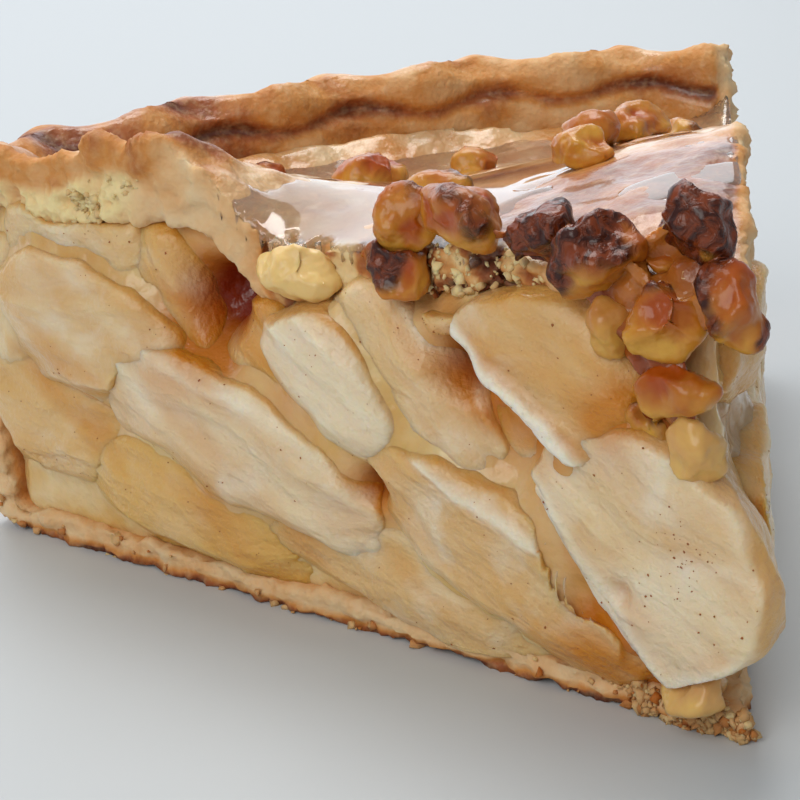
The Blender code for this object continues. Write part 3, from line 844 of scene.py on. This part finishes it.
def makeNut(name):
    number = int(name[-2:])
    look = nutLooks.get(number, lidNutLook)
    nut = copyNode(name, f"nut{number:02d}")
    remesh(nut, nutShape["skin"], 4, 0.6)
    places = vertexArray(nut)
    middle = places.mean(axis=0)
    # the knife has broken flat faces off the piece
    chance = np.random.default_rng(number)
    for turn in chance.normal(size=(nutShape["chips"], 3)):
        turn /= np.linalg.norm(turn)
        reach = (places - middle) @ turn
        over = np.maximum(0, reach - reach.max() * chance.uniform(0.62, 0.85))
        places = places - turn * over[:, None] * 0.92
    setVertices(nut, places)
    swell(nut, 0.25 * mm)
    places, normals = vertexArray(nut), vertexArray(nut, "normal")
    bare = lumps(places, 6 * mm, number + 70, 3) - normals[:, 2] * 0.35
    skin = ease(0.30, -0.30, bare - 2 * look["skin"] + 1)
    relief = nutShape["lobes"] * lumps(places, 4.5 * mm, number + 50, 2)
    folds = 1 - 2 * np.abs(lumps(places, 2.6 * mm, number + 60, 2))
    relief += skin * nutShape["wrinkles"] * folds
    relief += nutShape["crags"] * lumps(places, 2.4 * mm, number + 2, 4, 0.6)
    setVertices(nut, places + normals * relief[:, None])
    # painted shade: the flesh is coloured more toasted where it sinks into folds
    foldShade = 0.6 * ease(0.1 * mm, -0.5 * mm, relief)
    paint(nut, "skin", skin)
    low = ease(2.5 * mm, -2.5 * mm, places[:, 2] - middle[2])
    paint(nut, "honey", np.full(len(places), look.get("honey", 0.0)))
    toast = look["toast"] + 0.3 * lumps(places, 5 * mm, number + 80) + 0.25
    paint(nut, "toast", toast - 0.65 * low + foldShade)
    finish(nut, nutFinish, "nut", name)
    return nut


nuts = [makeNut(name) for name in nutNames]
print("nuts done")


# Caramel: glossy syrup that holds the nuts together, dark as painted shade between them
caramelLook = {"skin": 0.4 * mm, "reach": 1.1 * mm, "sink": 0.75 * mm, "lastNut": 13}


def makeCaramel():
    held = [nut for nut in nuts if int(nut.name[-2:]) <= caramelLook["lastNut"]]
    mass = joined(held, "caramel")
    remesh(mass, caramelLook["skin"])
    swell(mass, caramelLook["reach"])
    remesh(mass, caramelLook["skin"], 2)
    swell(mass, -caramelLook["reach"] - caramelLook["sink"])
    remesh(mass, caramelLook["skin"], 3)
    # dark amber throughout: syrup, and painted shade between the nuts
    paint(mass, "amber", np.full(len(mass.data.vertices), 0.9))
    paint(mass, "deep", 0.55 + 0.5 * lumps(vertexArray(mass), 5 * mm, 90))
    finish(mass, juiceFinish, "nut")


makeCaramel()
print("caramel done")


# Glaze: pools that lie in the hollows of the lid
glazeLook = {
    "step": 0.55 * mm,  # between the points of its surface
    "across": 104 * mm,  # the square it is poured over
    "film": 0.35 * mm,  # how far its top stands above the lid's evened height
    "soften": 130,  # rounds of evening
    "edge": 1.6 * mm,  # how far its rim dips into the lid
    "depth": 1.4 * mm,
}


def makeGlaze():
    tree = BVHTree.FromObject(topCrust, bpy.context.evaluated_depsgraph_get())
    side = glazeLook["across"]
    steps = round(side / glazeLook["step"])
    bm = bmesh.new()
    bmesh.ops.create_grid(bm, x_segments=steps, y_segments=steps, size=0.5)
    middle = pieAxis + Vector((0, side / 2, 0))
    bmesh.ops.scale(bm, vec=(side, side, 1), verts=bm.verts)
    bmesh.ops.translate(bm, vec=middle, verts=bm.verts)
    bm.verts.ensure_lookup_table()
    lidTop = np.full(len(bm.verts), np.nan)
    for index, vert in enumerate(bm.verts):
        hit = tree.ray_cast(Vector((vert.co.x, vert.co.y, 0.1)), Vector((0, 0, -1)))
        if hit[0] is not None and hit[1].z > 0.25:
            lidTop[index] = hit[0].z
    # the syrup's level is the lid's height, evened out over a few millimetres
    grid = lidTop.reshape(steps + 1, steps + 1)
    known = ~np.isnan(grid)
    level, weight = np.where(known, grid, 0), known.astype(float)
    for _ in range(glazeLook["soften"]):
        for axis in (0, 1):
            level = (level + 0.5 * (np.roll(level, 1, axis) + np.roll(level, -1, axis))) / 2
            weight = (weight + 0.5 * (np.roll(weight, 1, axis) + np.roll(weight, -1, axis))) / 2
    level = (level / np.maximum(weight, 1e-6)).ravel()
    places = np.array([vert.co for vert in bm.verts])
    radius, angle, _ = pieFrame(places)
    along, _, nearDepth = faceFrame(places)
    _, _, farDepth = faceFrame(places, "far")
    pool = ease(30 * mm, 44 * mm, radius) * ease(69 * mm, 61 * mm, along * (nearDepth > -26 * mm))
    pool = np.maximum(pool, ease(-22 * mm, -28 * mm, nearDepth))
    streak = np.exp(-(((radius - 23 * mm - 5 * mm * angle) / (5 * mm)) ** 2))
    streak *= ease(-0.2, 0.1, angle)
    pool -= 0.40 * ease(0.15, 0.6, lumps(places * np.array((1, 1, 0)), 11 * mm, 17, 3))
    pool = np.maximum(pool, streak) * ease(0.0, -0.8 * mm, np.maximum(nearDepth, farDepth))
    height = level + glazeLook["film"] - glazeLook["edge"] * (1 - np.clip(pool * 1.6, 0, 1))
    for index, vert in enumerate(bm.verts):
        vert.co.z = 0 if np.isnan(height[index]) else height[index]
    dry = ~known.ravel() | (pool < 0.02)
    lost = [vert for vert, isDry in zip(bm.verts, dry) if isDry]
    bmesh.ops.delete(bm, geom=lost, context="VERTS")
    under = bmesh.ops.extrude_face_region(bm, geom=bm.faces[:])["geom"]
    lower = [item for item in under if isinstance(item, bmesh.types.BMVert)]
    bmesh.ops.translate(bm, vec=(0, 0, -glazeLook["depth"]), verts=lower)
    bmesh.ops.recalc_face_normals(bm, faces=bm.faces)
    glaze = newObject(bm, "sugarGlaze")
    finish(glaze, glazeFinish, "lid")


makeGlaze()
print("glaze done")


def scatter(name, spots, sizes, flatness, seed):
    # small uneven bodies, one at each spot (place, outward direction)
    chance = random.Random(seed)
    bm = bmesh.new()
    for place, out in spots:
        size = sizes[0] + (sizes[1] - sizes[0]) * chance.random() ** 2.5
        turn = Vector(out).to_track_quat("Z", "Y").to_matrix().to_4x4()
        spin = Matrix.Rotation(chance.uniform(0, math.tau), 4, "Z")
        shape = Matrix.Diagonal((size, size * chance.uniform(0.6, 1.0), size * flatness, 1))
        matrix = Matrix.Translation(place) @ turn @ spin @ shape
        made = bmesh.ops.create_icosphere(bm, subdivisions=1, radius=0.5, matrix=matrix)
        for vert in made["verts"]:
            vert.co += Vector(chance.uniform(-0.2, 0.2) * size for _ in range(3))
            vert.co.z = max(0.0, vert.co.z)
    return newObject(bm, name)


def spotsOn(obj, weight, count, seed, lift=0.0):
    # places on a piece, the more likely the larger weight is
    places, normals = vertexArray(obj), vertexArray(obj, "normal")
    chance = np.random.default_rng(seed)
    weight = np.clip(weight, 0, None)
    picks = chance.choice(len(places), count, p=weight / weight.sum())
    return [(Vector(places[i] + normals[i] * lift), Vector(normals[i])) for i in picks]


crumbLook = {
    "lidCount": 260,
    "lidSizes": (0.35 * mm, 1.5 * mm),
    "baseCount": 420,
    "baseSizes": (0.4 * mm, 1.7 * mm),
    "flatness": 0.8,
}


def makeCrumbs():
    places = vertexArray(topCrust)
    along, _, nearDepth = faceFrame(places)
    atCut = ease(-2.0 * mm, 0.0, nearDepth)
    patch = ease(-0.2, 0.5, lumps(places, 7 * mm, 44, 2))
    broken = atCut * ease(22 * mm, 26 * mm, along) * ease(45 * mm, 36 * mm, along)
    spots = spotsOn(topCrust, humpCrumb * patch + 0.3 * broken, crumbLook["lidCount"], 3)
    fine = scatter("crustCrumbs", spots, crumbLook["lidSizes"], crumbLook["flatness"], 4)
    chance = np.random.default_rng(8)
    corners = len(fine.data.vertices) // len(spots)
    paint(fine, "baked", np.repeat(chance.uniform(0, 0.45, len(spots)), corners))
    finish(fine, crumbFinish, "crust")

    places = vertexArray(bottomCrust)
    along, height, nearDepth = faceFrame(places)
    atTip = ease(20 * mm, 4 * mm, along) * ease(-1.5 * mm, 0, nearDepth)
    depth = np.maximum(nearDepth, faceFrame(places, "far")[2])
    atEdge = 0.02 * ease(-1.0 * mm, 0, depth) * ease(6 * mm, 3 * mm, height)
    spots = spotsOn(bottomCrust, atTip + atEdge, crumbLook["baseCount"], 5, 0.1 * mm)
    base = scatter("baseCrumbs", spots, crumbLook["baseSizes"], crumbLook["flatness"], 6)
    paint(base, "baked", np.repeat(chance.uniform(0.3, 1.0, len(spots)), corners))
    finish(base, crumbFinish, "crust")


cinnamonLook = {
    "count": 16,  # flecks on a slice
    "countAtPoint": 80,  # on the big slice at the point
    "sizes": (0.12 * mm, 0.34 * mm),
    "flatness": 0.5,
    # where it gathers: place along the near cut, height, reach (mm), strength
    "spots": ((5.0, 20.5, 2.6, 1.0), (6.5, 16.5, 2.4, 0.6)),
}


def makeCinnamon():
    spots = []
    for piece in apples:
        places = vertexArray(piece)
        out = nearOut if int(piece.name[-2:]) in appleLooks else farOut
        facing = vertexArray(piece, "normal") @ out
        weight = ease(0.5, 0.9, facing)
        many = cinnamonLook["count"]
        if piece.name.endswith("01"):
            along, height, _ = faceFrame(places)
            weight = weight * (0.05 + spotted(along, height, cinnamonLook["spots"]))
            many = cinnamonLook["countAtPoint"]
        spots += spotsOn(piece, weight, many, len(spots), 0.02 * mm)
    spice = scatter("cinnamon", spots, cinnamonLook["sizes"], cinnamonLook["flatness"], 9)
    finish(spice, cinnamonFinish, "apple")


makeCrumbs()
makeCinnamon()
print("crumbs and cinnamon done")


def makeStage():
    bm = bmesh.new()
    bmesh.ops.create_grid(bm, x_segments=1, y_segments=1, size=3)
    floor = newObject(bm, "floor")
    finishes = {"Base Color": hexColour("#C4C9CC"), "Roughness": 0.6}
    floor.data.materials.append(newMaterial("plain pale floor", finishes)[0])


# each softbox: place in metres, size, watts and colour
softboxes = {
    "backSoftbox": ((-0.05, 0.80, 0.36), (1.4, 0.9), 4.8, (0.90, 0.94, 1.0)),
    "topSoftbox": ((0.10, 0.30, 0.75), (0.5, 0.4), 3.8, (1.0, 0.99, 0.97)),
    "frontSoftbox": ((-0.60, -0.45, 0.60), (0.6, 0.6), 3.6, (1.0, 0.97, 0.92)),
}
roomLight = {"colour": (0.90, 0.95, 1.0, 1), "strength": 0.31}
lightsAimAt = (0, 0, 30 * mm)


def addLight(name, place, size, energy, colour):
    light = bpy.data.lights.new(name, "AREA")
    light.shape = "RECTANGLE"
    light.size, light.size_y = size
    light.energy = energy
    light.color = colour
    obj = bpy.data.objects.new(name, light)
    obj.location = place
    obj.rotation_euler = (Vector(lightsAimAt) - Vector(place)).to_track_quat("-Z", "Y").to_euler()
    bpy.context.scene.collection.objects.link(obj)


# close to the slice, a little above it, with the near cut face towards it
cameraView = {
    "lens": 100.665,
    "sensor": 36,
    "fromAxis": Vector((-101.1, -164.2, 110.3)) * mm,
    "right": Vector((0.9183, -0.3923, -0.0520)),
    "above": Vector((0.1844, 0.3079, 0.9334)),
    "forward": Vector((0.3502, 0.8668, -0.3551)),
}


def makeCamera():
    camera = bpy.data.cameras.new("camera")
    camera.sensor_width = cameraView["sensor"]
    camera.lens = cameraView["lens"]
    camera.clip_start = 0.01
    obj = bpy.data.objects.new("camera", camera)
    axes = Matrix((cameraView["right"], cameraView["above"], -cameraView["forward"]))
    turn = axes.transposed().to_4x4()
    turn.translation = pieAxis + cameraView["fromAxis"]
    obj.matrix_world = turn
    bpy.context.scene.collection.objects.link(obj)
    bpy.context.scene.camera = obj


def makeLight():
    world = bpy.data.worlds.new("studio")
    world.use_nodes = True
    back = world.node_tree.nodes["Background"]
    back.inputs["Color"].default_value = roomLight["colour"]
    back.inputs["Strength"].default_value = roomLight["strength"]
    bpy.context.scene.world = world
    for name, settings in softboxes.items():
        addLight(name, *settings)
    bpy.context.scene.view_settings.view_transform = "Standard"


makeStage()
makeLight()
makeCamera()
print("stage done")
